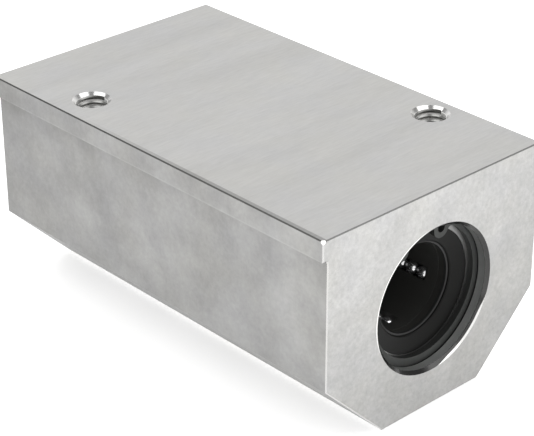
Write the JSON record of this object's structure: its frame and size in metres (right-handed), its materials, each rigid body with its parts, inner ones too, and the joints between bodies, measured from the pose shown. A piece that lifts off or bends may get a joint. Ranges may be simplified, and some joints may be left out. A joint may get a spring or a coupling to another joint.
{
  "type": "linear bearing block",
  "caption": "Long metal block with a straight bore that holds sealed linear ball bearings for a round shaft, kept in by retaining rings; flat tapped mounting face on top, bevelled foot.",
  "frame": {"origin": "on the bore axis, half way along the block", "axes": "+Y along the bore towards the rear end, +Z towards the flat mounting face, +X to the right seen from the front"},
  "size_m": [0.0784, 0.13, 0.063],
  "materials": {
    "block_metal": "raw extruded and milled, matt, faintly clouded",
    "spring_steel": "phosphated spring steel, dark grey",
    "sleeve_steel": "ground",
    "black_polymer": "moulded, satin",
    "seal_rubber": "moulded rubber",
    "ball_steel": "polished"
  },
  "bodies": {
    "root": {"housing": "block_metal", "spacer_ring": "sleeve_steel", "front_circlip": "spring_steel", "front_sleeve": "sleeve_steel", "front_cage": "black_polymer", "front_outer_end_ring": "black_polymer", "front_inner_end_ring": "black_polymer", "front_wiper_seal": "seal_rubber", "front_ball_row_1": "ball_steel", "front_ball_row_2": "ball_steel", "front_ball_row_3": "ball_steel", "front_ball_row_4": "ball_steel", "front_ball_row_5": "ball_steel", "rear_circlip": "spring_steel", "rear_sleeve": "sleeve_steel", "rear_cage": "black_polymer", "rear_outer_end_ring": "black_polymer", "rear_inner_end_ring": "black_polymer", "rear_wiper_seal": "seal_rubber", "rear_ball_row_1": "ball_steel", "rear_ball_row_2": "ball_steel", "rear_ball_row_3": "ball_steel", "rear_ball_row_4": "ball_steel", "rear_ball_row_5": "ball_steel"}
  },
  "joints": []
}
